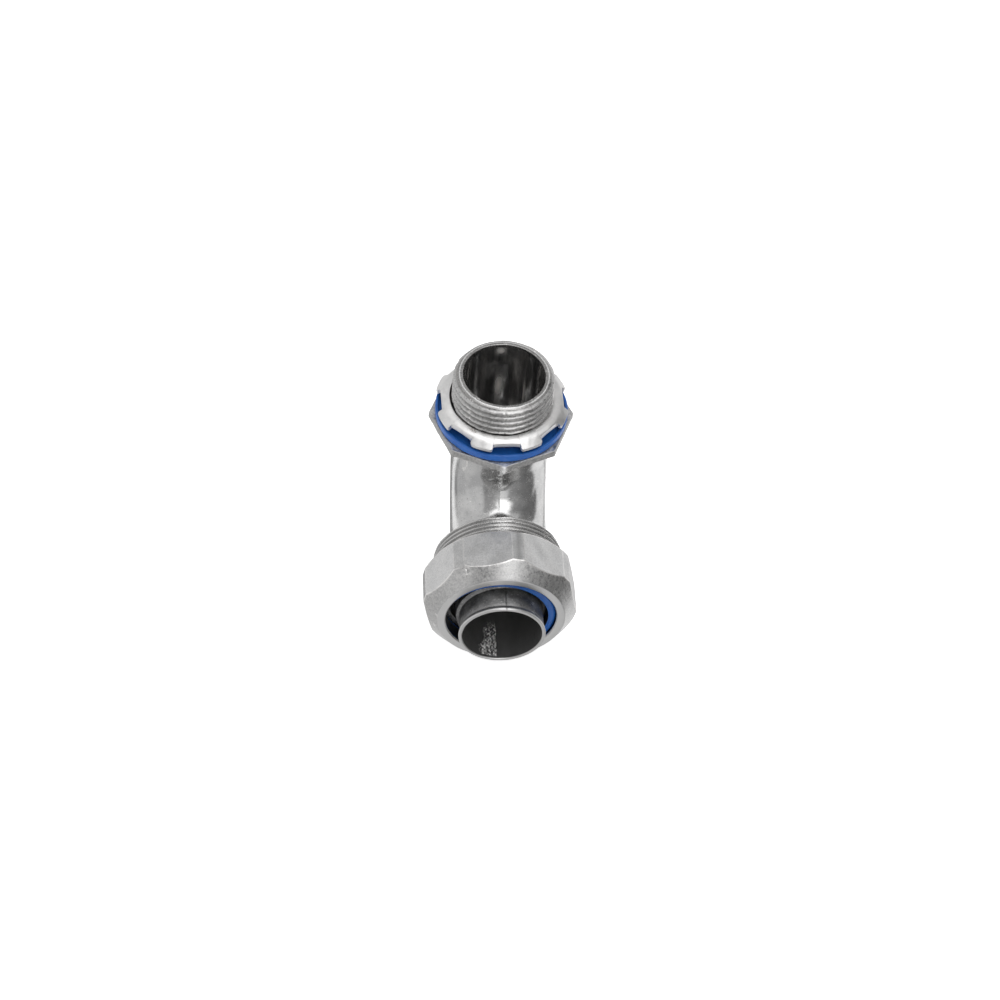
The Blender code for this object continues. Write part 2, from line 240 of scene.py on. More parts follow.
def over(phi, *values):
    """Each value spread over the points of a ring."""
    return [np.broadcast_to(np.asarray(value, float), phi.shape) for value in values]


def layers(names, shares):
    """Each zone's own layer, from one list of the zones' shares for each ring."""
    values = np.array(shares)
    return {name: values[:, index] for index, name in enumerate(names)}


def loft(name, rings, body, node, material, zones=None):
    """A closed mesh from rings of points in millimetres, which stands for one CAD node."""
    count, around = rings.shape[:2]
    index = np.arange(count * around).reshape(count, around)
    below = np.roll(index, -1, axis=0)
    faces = np.stack([index, np.roll(index, -1, axis=1), np.roll(below, -1, axis=1), below], -1)
    faces = faces.reshape(-1, 4)
    points = rings.reshape(-1, 3)
    corner = points[faces]
    volume = np.einsum("ij,ij->i", corner[:, 0], np.cross(corner[:, 1], corner[:, 2])).sum()
    if volume < 0:
        faces = faces[:, ::-1]
    mesh = bpy.data.meshes.new(name)
    mesh.from_pydata((points * MM).tolist(), [], faces.tolist())
    mesh.shade_smooth()
    for zone, values in (zones or {}).items():
        layer = mesh.attributes.new(zone, "FLOAT", "POINT")
        layer.data.foreach_set("value", np.ascontiguousarray(values, dtype=np.float32).ravel())
    mesh.materials.append(material)
    obj = bpy.data.objects.new(name, mesh)
    bpy.context.scene.collection.objects.link(obj)
    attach(obj, body)
    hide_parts(node)


def hub_points(phi, radius, height):
    """Points round the hub axis, the angle running from +X towards +Y."""
    phi, radius, height = np.broadcast_arrays(phi, radius, height)
    return np.stack([radius * np.cos(phi), radius * np.sin(phi), height], -1)


def conduit_points(phi, radius, reach, centre=(0.0, 0.0)):
    """Points round the conduit axis, the angle running from +X towards +Z."""
    phi, radius, reach = np.broadcast_arrays(phi, radius, reach)
    return np.stack([radius * np.cos(phi) + centre[0], -reach,
                     radius * np.sin(phi) + centre[1] - CONDUIT_DROP], -1)


# ---- materials

def node(tree, kind, inputs=(), **settings):
    """A new node with these inputs, each a value or the socket that feeds it."""
    made = tree.nodes.new(kind)
    for key, value in settings.items():
        setattr(made, key, value)
    for key, value in dict(inputs).items():
        if isinstance(value, bpy.types.NodeSocket):
            tree.links.new(value, made.inputs[key])
        else:
            made.inputs[key].default_value = value
    return made


def noise(tree, where, scale, detail=3.0, roughness=0.55, distortion=0.0):
    return node(tree, "ShaderNodeTexNoise", {
        "Vector": where, "Scale": scale, "Detail": detail, "Roughness": roughness,
        "Distortion": distortion,
    }).outputs["Fac"]


def ramp(tree, value, low, high, to_low=0.0, to_high=1.0, kind="SMOOTHSTEP"):
    return node(tree, "ShaderNodeMapRange", {
        "Value": value, "From Min": low, "From Max": high, "To Min": to_low, "To Max": to_high,
    }, interpolation_type=kind).outputs["Result"]


def math_node(tree, operation, a, b):
    return node(tree, "ShaderNodeMath", {0: a, 1: b}, operation=operation).outputs[0]


def mix(tree, amount, a, b, kind="MIX"):
    inputs = {0: amount, 6: a, 7: b}
    return node(tree, "ShaderNodeMix", inputs, data_type="RGBA", blend_type=kind).outputs[2]


def times(tree, a, b):
    return math_node(tree, "MULTIPLY", a, b)


def plus(tree, a, b):
    return math_node(tree, "ADD", a, b)


def either(tree, a, b):
    return math_node(tree, "MAXIMUM", a, b)


def blended(tree, share, a, b):
    """The number a where share is 0 and b where it is 1."""
    return node(tree, "ShaderNodeMix", {0: share, 2: a, 3: b}).outputs[0]


def mottled(tree, value, low, high, dark, light):
    """Two colours, mixed by where a noise lies between low and high."""
    return mix(tree, ramp(tree, value, low, high), dark, light)


def grey(level, warm=0.0):
    """A grey, slightly towards orange if warm is above 0."""
    return (level * (1 + warm), level, level * (1 - warm), 1.0)


def attribute(tree, name):
    return node(tree, "ShaderNodeAttribute", attribute_name=name).outputs["Fac"]


def scratches(tree, where, turn):
    """Fine straight marks: noise stretched along one direction, cut to its peaks."""
    turned = node(tree, "ShaderNodeMapping", {
        "Vector": where, "Rotation": turn, "Scale": (90.0, 5200.0, 5200.0),
    }).outputs[0]
    marks = ramp(tree, noise(tree, turned, 1.0, 2.0, 0.5), 0.66, 0.74)
    patches = ramp(tree, noise(tree, where, 260.0, 2.0), 0.42, 0.62)
    return times(tree, marks, patches)


def bump(tree, height, strength, distance, normal=None):
    inputs = {"Height": height, "Strength": strength, "Distance": distance}
    if normal is not None:
        inputs["Normal"] = normal
    return node(tree, "ShaderNodeBump", inputs).outputs[0]


def start_material(name, metallic):
    material = bpy.data.materials.new(name)
    material.use_nodes = True
    tree = material.node_tree
    shader = tree.nodes["Principled BSDF"]
    shader.inputs["Metallic"].default_value = metallic
    where = node(tree, "ShaderNodeTexCoord").outputs["Object"]
    return material, tree, shader, where


def finish_material(tree, shader, colour, roughness, normal):
    tree.links.new(colour, shader.inputs["Base Color"])
    tree.links.new(roughness, shader.inputs["Roughness"])
    tree.links.new(normal, shader.inputs["Normal"])


def worn_edges(tree, colour, lighter, amount):
    edge = ramp(tree, node(tree, "ShaderNodeNewGeometry").outputs["Pointiness"], 0.52, 0.60)
    return mix(tree, times(tree, edge, amount), colour, lighter)


def make_zinc():
    """The elbow: polished on the tube, cast grain on flange and threads, drawn streaks inside."""
    material, tree, shader, where = start_material("die_cast_zinc_look", 1.0)
    cast = attribute(tree, "cast")
    painted_shade = attribute(tree, "painted_shade")
    bore = attribute(tree, "bore")
    cloud = noise(tree, where, 190.0, 5.0, 0.62)
    fine = noise(tree, where, 1500.0, 4.0, 0.6)
    grain = noise(tree, where, 4200.0, 3.0, 0.6)
    drawn = node(tree, "ShaderNodeMapping", {"Vector": where, "Scale": (330.0, 330.0, 22.0)}).outputs[0]
    streaks = noise(tree, drawn, 1.0, 3.0, 0.55)
    marks = either(tree, scratches(tree, where, (0.5, 0.3, 0.9)),
                   scratches(tree, where, (1.2, -0.7, 2.1)))
    colour = mottled(tree, cloud, 0.35, 0.68, grey(0.50), grey(0.64, 0.006))
    colour = mix(tree, ramp(tree, fine, 0.54, 0.72, 0.0, 0.45), colour, grey(0.34))
    nicks = ramp(tree, noise(tree, where, 1900.0, 2.0, 0.5), 0.68, 0.74)
    bright_marks = either(tree, times(tree, marks, 0.6), nicks)
    colour = mix(tree, bright_marks, colour, grey(0.86, 0.01))
    cast_colour = mottled(tree, fine, 0.32, 0.68, grey(0.41), grey(0.62, 0.012))
    dark_grain = ramp(tree, grain, 0.54, 0.74, 0.0, 0.25)
    cast_colour = mix(tree, dark_grain, cast_colour, grey(0.28, 0.02))
    colour = mix(tree, cast, colour, cast_colour)
    # Painted shade: darker in the thread roots, on the hub rim, round the flange and on the -X side.
    colour = mix(tree, times(tree, painted_shade, 0.75), colour, grey(0.16, 0.05))
    colour = worn_edges(tree, colour, grey(0.82, 0.02), 0.7)
    bore_colour = mottled(tree, streaks, 0.45, 0.62, grey(0.44), grey(0.74, 0.02))
    colour = mix(tree, bore, colour, bore_colour)
    # Lighter flash along the parting line, and painted highlights on the hub rim's edge and the gland
    # thread's front crests.
    flash_and_highlight = attribute(tree, "flash_and_highlight")
    colour = mix(tree, times(tree, flash_and_highlight, 0.8), colour, grey(0.92))
    # Painted highlights: light, chalky patches on the far wall of the bore.
    painted_highlight = attribute(tree, "painted_highlight")
    colour = mix(tree, painted_highlight, colour, grey(0.96, 0.05))
    polish = ramp(tree, cloud, 0.35, 0.7, 0.13, 0.24)
    polish = plus(tree, polish, ramp(tree, fine, 0.5, 0.8, 0.0, 0.16))
    polish = plus(tree, polish, times(tree, marks, 0.2))
    rough = ramp(tree, fine, 0.3, 0.7, 0.28, 0.44)
    rough = plus(tree, rough, ramp(tree, cast, 0.85, 1.0, 0.0, 0.14))
    roughness = blended(tree, cast, polish, rough)
    drawn_finish = ramp(tree, streaks, 0.42, 0.64, 0.06, 0.16)
    roughness = blended(tree, bore, roughness, drawn_finish)
    roughness = blended(tree, painted_highlight, roughness, 0.55)
    # Painted highlights and flash are chalky, so they show less of the surroundings.
    dull = either(tree, cast, times(tree, bore, 0.35))
    dull = plus(tree, dull, times(tree, painted_highlight, 5.5))
    dull = plus(tree, dull, times(tree, flash_and_highlight, 5.0))
    bare = ramp(tree, dull, 0.0, 5.0, 1.0, 0.40, "LINEAR")
    tree.links.new(bare, shader.inputs["Metallic"])
    normal = bump(tree, cloud, 0.06, 0.00025)
    normal = bump(tree, marks, 0.60, 0.00002, normal)
    skin = times(tree, fine, plus(tree, 0.26, cast))
    normal = bump(tree, skin, 0.50, 0.00007, normal)
    normal = bump(tree, times(tree, grain, cast), 0.22, 0.00003, normal)
    finish_material(tree, shader, colour, roughness, normal)
    return material


def make_nut_zinc():
    """The gland nut: satin sides, a mottled and grainy chamfer, a smoother front ring."""
    material, tree, shader, where = start_material("satin_zinc_look", 1.0)
    cast = attribute(tree, "cast")
    inside = attribute(tree, "bore")
    face = attribute(tree, "face")
    cloud = noise(tree, where, 230.0, 5.0, 0.6)
    fine = noise(tree, where, 1700.0, 4.0, 0.62)
    grain = noise(tree, where, 4600.0, 3.0, 0.6)
    pits = ramp(tree, noise(tree, where, 2300.0, 2.0, 0.5), 0.70, 0.78)
    colour = mottled(tree, cloud, 0.34, 0.68, grey(0.58), grey(0.69, 0.004))
    sand = ramp(tree, noise(tree, where, 2600.0, 3.0, 0.75), 0.38, 0.62)
    colour = mix(tree, sand, mix(tree, 1.0, colour, grey(0.80), "MULTIPLY"), colour)
    colour = mix(tree, times(tree, pits, 0.30), colour, grey(0.34, 0.02))
    dappled = mottled(tree, fine, 0.34, 0.68, grey(0.43), grey(0.60, 0.01))
    dappled = mix(tree, ramp(tree, sand, 0.6, 1.0, 0.0, 0.35), dappled, grey(0.72, 0.01))
    colour = mix(tree, cast, colour, dappled)
    colour = mix(tree, face, colour, grey(0.74, 0.004))
    # The edge layer: worn edges, the flaw's lighter parts and a painted highlight on the front ring.
    wear_and_highlight = times(tree, attribute(tree, "edge"), ramp(tree, cloud, 0.30, 0.55, 0.35, 0.95))
    colour = mix(tree, wear_and_highlight, colour, grey(0.93, 0.02))
    colour = worn_edges(tree, colour, grey(0.84, 0.015), 0.65)
    # Painted shade along one corner flat and in the flaw's pits.
    colour = mix(tree, times(tree, attribute(tree, "shade"), 0.55), colour, grey(0.24))
    # Painted shade: the threaded bore and the seat are near black.
    colour = mix(tree, inside, colour, grey(0.10, 0.02))
    satin = ramp(tree, cloud, 0.35, 0.7, 0.30, 0.38)
    rough = ramp(tree, fine, 0.3, 0.7, 0.26, 0.42)
    roughness = blended(tree, cast, satin, rough)
    normal = bump(tree, cloud, 0.12, 0.00030)
    skin = times(tree, fine, plus(tree, 0.30, cast))
    normal = bump(tree, skin, 0.24, 0.00005, normal)
    normal = bump(tree, grain, 0.16, 0.00003, normal)
    normal = bump(tree, pits, -0.2, 0.00003, normal)
    finish_material(tree, shader, colour, roughness, normal)
    return material


def make_plated_steel():
    """The locknut: light matte zinc plate with a few brown specks."""
    material, tree, shader, where = start_material("plated_steel_look", 1.0)
    cloud = noise(tree, where, 320.0, 5.0, 0.65)
    fine = noise(tree, where, 2600.0, 4.0, 0.6)
    speck = ramp(tree, noise(tree, where, 900.0, 4.0, 0.7), 0.71, 0.76)
    colour = mottled(tree, cloud, 0.35, 0.66, grey(0.84, 0.004), grey(0.95, 0.01))
    rusty = times(tree, attribute(tree, "rust"), ramp(tree, fine, 0.45, 0.50))
    speck = either(tree, speck, rusty)
    colour = mix(tree, times(tree, speck, 0.8), colour, (0.23, 0.17, 0.12, 1))
    colour = worn_edges(tree, colour, grey(0.95, 0.01), 0.5)
    # Painted shade: the bore is dark, and the top face darker towards its sides.
    colour = mix(tree, attribute(tree, "inside"), colour, grey(0.18, 0.02))
    roughness = ramp(tree, cloud, 0.3, 0.7, 0.34, 0.46)
    normal = bump(tree, fine, 0.30, 0.00006)
    normal = bump(tree, cloud, 0.20, 0.00015, normal)
    finish_material(tree, shader, colour, roughness, normal)
    return material


def make_ferrule_steel():
    """The ferrule: rolled strip with marks along it, a bright lip, a scaly strip inside and painted shade
    darkening the rest of the inside.
    """
    material, tree, shader, where = start_material("ferrule_steel_look", 1.0)
    inside = attribute(tree, "bore")
    lip = attribute(tree, "lip")
    strip = attribute(tree, "strip")
    cloud = noise(tree, where, 300.0, 5.0, 0.65)
    fine = noise(tree, where, 2200.0, 4.0, 0.65)
    crust = noise(tree, where, 1300.0, 6.0, 0.8, 1.2)
    marks = scratches(tree, where, (0.0, 0.0, 1.57))
    colour = mottled(tree, cloud, 0.35, 0.68, grey(0.23), grey(0.37))
    colour = mix(tree, ramp(tree, fine, 0.53, 0.72, 0.0, 0.7), colour, grey(0.70, 0.01))
    colour = mix(tree, lip, colour, grey(0.66, 0.006))
    colour = worn_edges(tree, colour, grey(0.74, 0.01), 0.7)
    colour = mix(tree, attribute(tree, "seam"), colour, grey(0.06))
    # Painted shade: the inside is dark.
    colour = mix(tree, inside, colour, grey(0.15))
    scale_mask = times(tree, ramp(tree, strip, 0.1, 0.6), ramp(tree, crust, 0.40, 0.56))
    colour = mix(tree, scale_mask, colour, grey(0.90, 0.01))
    bare = ramp(tree, either(tree, inside, times(tree, strip, 1.6)), 0.0, 1.6,
                1.0, 0.55, "LINEAR")
    tree.links.new(bare, shader.inputs["Metallic"])
    roughness = ramp(tree, cloud, 0.3, 0.7, 0.44, 0.58)
    roughness = blended(tree, lip, roughness, 0.34)
    roughness = plus(tree, roughness, times(tree, marks, 0.2))
    roughness = plus(tree, roughness, times(tree, scale_mask, 0.3))
    normal = bump(tree, fine, 0.30, 0.00006)
    normal = bump(tree, marks, 0.30, 0.00003, normal)
    rugged = times(tree, crust, strip)
    normal = bump(tree, rugged, 0.9, 0.00030, normal)
    finish_material(tree, shader, colour, roughness, normal)
    return material


def make_blue():
    """The sealing rings: moulded blue nylon with a satin skin."""
    material, tree, shader, where = start_material("blue_plastic_look", 0.0)
    shader.inputs["IOR"].default_value = 1.5
    cloud = noise(tree, where, 240.0, 4.0, 0.55)
    fine = noise(tree, where, 3000.0, 3.0, 0.6)
    deep_blue, mid_blue = (0.008, 0.088, 0.36, 1), (0.012, 0.115, 0.43, 1)
    pale_blue, edge_blue = (0.03, 0.15, 0.47, 1), (0.035, 0.17, 0.52, 1)
    shade_black = (0.004, 0.006, 0.012, 1)
    colour = mottled(tree, cloud, 0.35, 0.68, deep_blue, mid_blue)
    colour = mix(tree, ramp(tree, fine, 0.60, 0.76, 0.0, 0.25), colour, pale_blue)
    colour = worn_edges(tree, colour, edge_blue, 0.6)
    # Painted shade: parts of the gland ring's bore are near black.
    colour = mix(tree, attribute(tree, "bore_shade"), colour, shade_black)
    roughness = ramp(tree, cloud, 0.3, 0.7, 0.30, 0.42)
    normal = bump(tree, fine, 0.18, 0.00004)
    normal = bump(tree, cloud, 0.10, 0.00020, normal)
    finish_material(tree, shader, colour, roughness, normal)
    return material


zinc = make_zinc()
nut_zinc = make_nut_zinc()
plated_steel = make_plated_steel()
ferrule_steel = make_ferrule_steel()
blue = make_blue()


# ---- the elbow

def elbow_points(along, phi, radius):
    """Points round the elbow's centre line, along being the distance below the flange face."""
    along, phi, radius = np.broadcast_arrays(along, phi, radius)
    turn = np.clip((along - BEND_START) / BEND_R, 0, math.pi / 2)
    above = np.maximum(BEND_START - along, 0)
    beyond = np.maximum(along - BEND_END, 0)
    across = radius * np.sin(phi)
    return np.stack([
        radius * np.cos(phi),
        -BEND_R + (BEND_R + across) * np.cos(turn) - beyond,
        -BEND_START + above - (BEND_R + across) * np.sin(turn),
    ], -1)


def at_reach(reach):
    """How far along the elbow's centre line a reach is."""
    return BEND_END + reach - BEND_R


def build_elbow():
    """One casting: hub, flange, bent tube and gland barrel, from the hub's rim round to its bore."""
    phi = angles(224, squeeze=0.72)
    degrees = np.degrees(phi)
    plate = octagon(phi, FLANGE_CORNER_R, 0.22)
    rings, zones = [], []

    def ring(along, radius, cast=0.0, painted_shade=0.0, bore=0.0, flash_and_highlight=0.0, painted_highlight=0.0):
        rings.append(elbow_points(along, phi, radius))
        zones.append(over(phi, cast, painted_shade, bore, flash_and_highlight, painted_highlight))

    def lump(along, radius, size, height, seed):
        """Unevenness of a casting, in millimetres."""
        return height * ripple(elbow_points(along, phi, radius), size, seed)

    front = bell(degrees, FRONT, 0.9)
    seam = front + bell(degrees, REAR, 0.9)
    # Rim of the hub, its flat painted with shade and its outer edge with a painted highlight.
    rim = rounded([(BORE_R, -HUB_TOP + 0.9), (BORE_R + 0.12, -HUB_TOP), (HUB_RIM_R, -HUB_TOP),
                   (HUB_ROOT_R, -HUB_TOP + HUB_RIM_FALL)], (0.20, 0.10))
    for radius, along in spread(rim, 0.15)[1:]:
        wave = lump(along, radius, 2.2, 0.022, 3)
        inner = 1.0 if radius < BORE_R + 0.03 else 0.0
        edge = bell(radius, HUB_RIM_R, 0.13)
        ring(along + wave, radius + wave, 0.45, 0.68 * (1 - edge), inner, 0.9 * edge)
    # Hub thread, its two halves slightly out of step across the parting line, with painted shade in its
    # roots.
    step = HUB_PITCH / 14
    shift = 0.06 * np.tanh(elbow_points(0.0, phi, HUB_CREST_R)[..., 0] / 0.35)
    for height in np.arange(HUB_TOP - HUB_RIM_FALL - 0.04, 0.9, -step):
        stands = ridge(phi, height + shift, HUB_PITCH, *HUB_THREAD)
        wear = 1 + 0.07 * ripple(elbow_points(-height, phi, HUB_CREST_R), 2.6, 5) - 0.10 * seam
        wear = wear - HUB_TAPER * max(height - LOCKNUT_TOP, 0.0)
        radius = HUB_ROOT_R + (HUB_CREST_R - HUB_ROOT_R) * stands * wear
        chamfer = HUB_RIM_R + (HUB_TOP - height) * (HUB_ROOT_R - HUB_RIM_R) / HUB_RIM_FALL
        radius = smooth_min(radius, chamfer, 0.08) + lump(-height, radius, 0.9, 0.018, 6)
        ring(-height, radius, 0.8, 0.85 * (1 - smoothstep(stands / 0.5)))
    # Flange: the face, a rounded edge, the side and the underside, with painted shade where the face meets
    # the hub, on the -X side of the edge and where the underside meets the tube.
    ring(-0.5, HUB_ROOT_R, 1.0, 0.6)
    ring(-0.15, HUB_ROOT_R + 0.1, 1.0, 0.6)
    flash_and_highlight = bell(degrees, FRONT, 1.7)
    # The -X side, where shade is painted on the flange's edge and on the gland thread.
    left = smoothstep(-np.cos(phi))
    for share in np.linspace(0.0, 1.0, 9):
        radius = (HUB_ROOT_R + 0.5) * (1 - share) + (plate - 0.32) * share
        spilt = 0.5 * flash_and_highlight * smoothstep(share * 3 - 2)
        ring(lump(0.0, radius, 3.0, 0.02, 8), radius, 1.0, 0.0, 0.0, spilt)
    edge = rounded([(-0.32, 0.0), (0.0, 0.0), (0.06, FLANGE_THICKNESS), (-0.4, FLANGE_THICKNESS)],
                   (0.26, 0.30), 4)
    for inset, along in spread(edge, 0.3)[1:]:
        radius = plate + inset
        wave = lump(along, radius, 1.6, 0.035, 9) + lump(along, radius, 4.5, 0.03, 10)
        ragged = flash_and_highlight * (0.40 + 0.26 * ripple(elbow_points(along, phi, radius), 0.8, 11))
        ring(along + 0.5 * wave, radius + wave + ragged, 1.0, 0.3 * left, 0.0, flash_and_highlight)
    for share in np.linspace(0.12, 1.0, 6):
        radius = (plate - 0.4) * (1 - share) + (TUBE_R + 1.0) * share
        ring(FLANGE_THICKNESS, radius, 1.0, 0.3 * share)
    for turn in np.linspace(0.2, 1.0, 6):
        a = turn * math.pi / 2
        ring(FLANGE_THICKNESS + 0.9 * (1 - math.cos(a)), TUBE_R + 1.0 - math.sin(a),
             1.0 - 0.7 * turn, 0.3 * (1 - turn))
    # Tube and bend.
    tube_top, tube_end = FLANGE_THICKNESS + 1.2, at_reach(BARREL_FROM - 0.7)
    for along in stretches(tube_top, (BEND_START, 20), (tube_end, 46)):
        ragged = front * bell(along, 3.0, 2.4) * 0.20
        wave = lump(along, TUBE_R, 9.0, 0.012, 12) + lump(along, TUBE_R, 3.0, 0.003, 13)
        settled = smoothstep((along - tube_top) / 6.0) * smoothstep((tube_end - along) / 3.0)
        wave = wave + settled * (TUBE_SWELL + TUBE_LEAN * np.cos(phi))
        broken = 0.7 + 0.5 * ripple(elbow_points(along, phi, TUBE_R), 1.2, 14)
        line = 0.030 * seam * broken
        spatter = np.clip(2.0 * ripple(elbow_points(along, phi, TUBE_R), 1.1, 21) - 1.3, 0, 1)
        spatter = spatter * bell(degrees, FRONT - 2, 14)
        wide = bell(degrees, FRONT, 2.2) * np.clip(broken + 0.1, 0, 1)
        fade = 0.3 * bell(along, FLANGE_THICKNESS, 1.0)
        upper = 1 - smoothstep((along - FLANGE_THICKNESS - 16.0) / 6.0)
        marked = upper * np.maximum(wide, spatter)
        wave = wave + 0.02 * marked
        ring(along, TUBE_R + wave + line + ragged, np.maximum(fade, marked), 0.0, 0.0, marked)
    # Shoulder and gland thread, with painted shade in the thread's roots and on its -X side, and a painted
    # highlight along its front crests.
    shoulder = rounded([(TUBE_R, BARREL_FROM - 0.7), (TUBE_R + 0.25, BARREL_FROM),
                        (GLAND_ROOT_R - 0.8, BARREL_FROM), (GLAND_ROOT_R, BARREL_FROM + 0.6)],
                       (0.5, 0.25), 5)
    for radius, reach in spread(shoulder, 0.6)[1:]:
        ring(at_reach(reach), radius + lump(at_reach(reach), radius, 2.0, 0.015, 15), 0.5, 0.1)
    step = GLAND_PITCH / 10
    gland_shift = 0.05 * np.tanh(elbow_points(0.0, phi, GLAND_CREST_R)[..., 0] / 0.35)
    for reach in np.arange(BARREL_FROM + 0.75, BARREL_TO - 0.55, step):
        stands = ridge(-phi % TAU, reach + gland_shift, GLAND_PITCH, *GLAND_THREAD)
        wear = 1 + 0.06 * ripple(elbow_points(at_reach(reach), phi, GLAND_CREST_R), 3.0, 16)
        radius = GLAND_ROOT_R + (GLAND_CREST_R - GLAND_ROOT_R) * stands * (wear - 0.08 * seam)
        radius = radius + lump(at_reach(reach), radius, 0.9, 0.010, 17)
        # A painted highlight along the crests at the front, carried in the flash layer.
        shine = 0.7 * bell(degrees, FRONT, 4.5) * smoothstep(stands / 0.8)
        groove = 1 - smoothstep(stands / 0.5)
        ring(at_reach(reach), radius, 0.40, 0.42 * groove + left * (0.18 + 0.2 * groove), 0.0, shine)
    # Open end, the ferrule's pocket and the bore back to the rim.
    end = rounded([(GLAND_ROOT_R, BARREL_TO - 0.5), (GLAND_ROOT_R - 0.5, BARREL_TO),
                   (COUNTERBORE_R + 0.1, BARREL_TO), (COUNTERBORE_R, BARREL_TO - 0.5),
                   (COUNTERBORE_R, COUNTERBORE_FROM), (BORE_R + 0.1, COUNTERBORE_FROM),
                   (BORE_R, COUNTERBORE_FROM - 0.6)], (0.2, 0.15, 0.15, 0.2, 0.2), 3)
    for radius, reach in spread(end, 1.2):
        ring(at_reach(reach), radius, 0.5, 0.0, 0.0 if reach > BARREL_TO - 0.4 else 1.0)
    back_along = stretches(at_reach(COUNTERBORE_FROM - 1.2), (BEND_END, 7), (BEND_START, 25),
                           (-HUB_TOP + 0.9, 36))
    # Painted highlights on the bore's far wall: degrees, half width, depth below the face, half length,
    # strength.
    bore_highlights = ((91.0, 5.5, 0.8, 3.6, 1.0), (91.5, 6.0, -12.3, 1.1, 1.0),
                 (52.0, 1.3, 1.5, 4.5, 1.0), (128.0, 3.0, -4.0, 4.0, 0.4))
    for along in back_along:
        wave = lump(along, BORE_R, 7.0, 0.030, 18) + lump(along, BORE_R, 2.4, 0.008, 19)
        painted_highlight = np.zeros_like(phi)
        for place, half_width, depth, half_length, strength in bore_highlights:
            near = bell(degrees, place, half_width) * bell(along, depth, half_length)
            painted_highlight = np.maximum(painted_highlight, strength * near)
        ring(along, BORE_R + wave, 0.0, 0.0, 1.0, 0.0, painted_highlight)
    loft("elbow", np.array(rings), "elbow", "elbow_body", zinc,
         layers(("cast", "painted_shade", "bore", "flash_and_highlight", "painted_highlight"), zones))


# ---- the sealing rings

def turned_ring(name, profile, body, node_name, place, wave_seed, shade_radius=0.0, shade_below=0.0):
    """A moulded ring: a closed profile of (radius, height) turned, with a little waviness.

    One side of its bore, out to the given radius, is painted near black as shade, and so is
    the whole bore below the given height.
    """
    phi = angles(192)
    one_side = smoothstep((0.15 - np.cos(phi + 0.6)) / 0.3)
    rings, bore_shade = [], []
    for radius, height in profile:
        bore_shade.append(float(radius < shade_radius) * np.maximum(one_side, float(height < shade_below)))
        wave = 0.018 * ripple(place(phi, radius, height), 6.0, wave_seed)
        rings.append(place(phi, radius + wave, height + 0.6 * wave))
    loft(name, np.array(rings), body, node_name, blue, {"bore_shade": np.array(bore_shade)})


def build_hub_seal():
    """A flat ring on the flange with a raised outer lip."""
    outline = rounded([(16.8, SEAL_FLAT), (16.45, SEAL_TOP), (SEAL_R, SEAL_TOP), (SEAL_R, SEAL_BOTTOM),
                       (SEAL_BORE_R, SEAL_BOTTOM), (SEAL_BORE_R, SEAL_FLAT), (16.2, SEAL_FLAT)],
                      (0.12, 0.34, 0.25, 0.15, 0.2), 5)
    turned_ring("hub_seal", spread(outline[1:], 0.4), "hub_ring", "hub_sealing_ring", hub_points, 31)


def build_gland_ring():
    """A ring with a coned front, lying off the axis between the nut's seat and the ferrule."""
    bore_r, outer_r, back, front = 13.3, 15.2, 38.1, 42.2
    outline = rounded([(bore_r, 41.0), (bore_r, front), (13.5, front), (outer_r, 40.2), (outer_r, back),
                       (13.5, back), (bore_r, 40.7), (bore_r, 41.0)], (0.08, 0.10, 0.3, 0.25, 0.2, 0.0), 5)

    def place(phi, radius, height):
        """Under the nut's lip the ring is pushed forward on its +X side."""
        pushed = smoothstep(np.cos(phi + 0.2)) * smoothstep((radius - 13.5) / 1.5)
        pushed = pushed * smoothstep((height - 39.4) / 0.8)
        return conduit_points(phi, radius + 0.15 * pushed, height + 1.25 * pushed, RING_CENTRE)

    turned_ring("gland_seal", spread(outline[:-1], 0.5), "gland_ring", "gland_sealing_ring", place, 32,
                13.45, 41.9)


# ---- the locknut

def locknut_outline(count):
    """The stamped outline, count points to each of the eight tabs, starting mid-notch."""
    half = LOCKNUT_NOTCH / 2
    reach = math.sqrt(LOCKNUT_TAB_R ** 2 - half ** 2)
    notch = np.array([(LOCKNUT_RING_R, 0.0), (LOCKNUT_RING_R, half), (reach, half)])
    turn = math.radians(45)
    after = rotated(notch[::-1] * (1, -1), turn)
    start, stop = math.atan2(half, reach), turn - math.atan2(half, reach)
    arc = [(LOCKNUT_TAB_R * math.cos(a), LOCKNUT_TAB_R * math.sin(a))
           for a in np.linspace(start, stop, 7)[1:-1]]
    corners = [*notch, *arc, *after]
    radii = [0.35, 0.55, *([0.0] * len(arc)), 0.55, 0.35]
    line = spread(rounded(corners, radii, 5), 0.05)
    length = np.concatenate([[0], np.cumsum(np.linalg.norm(np.diff(line, axis=0), axis=1))])
    at = np.linspace(0, length[-1], count, endpoint=False)
    sector = np.stack([np.interp(at, length, line[:, 0]), np.interp(at, length, line[:, 1])], -1)
    first = math.radians(LOCKNUT_TURN + 22.5)
    return np.concatenate([rotated(sector, first + turn * index) for index in range(8)])


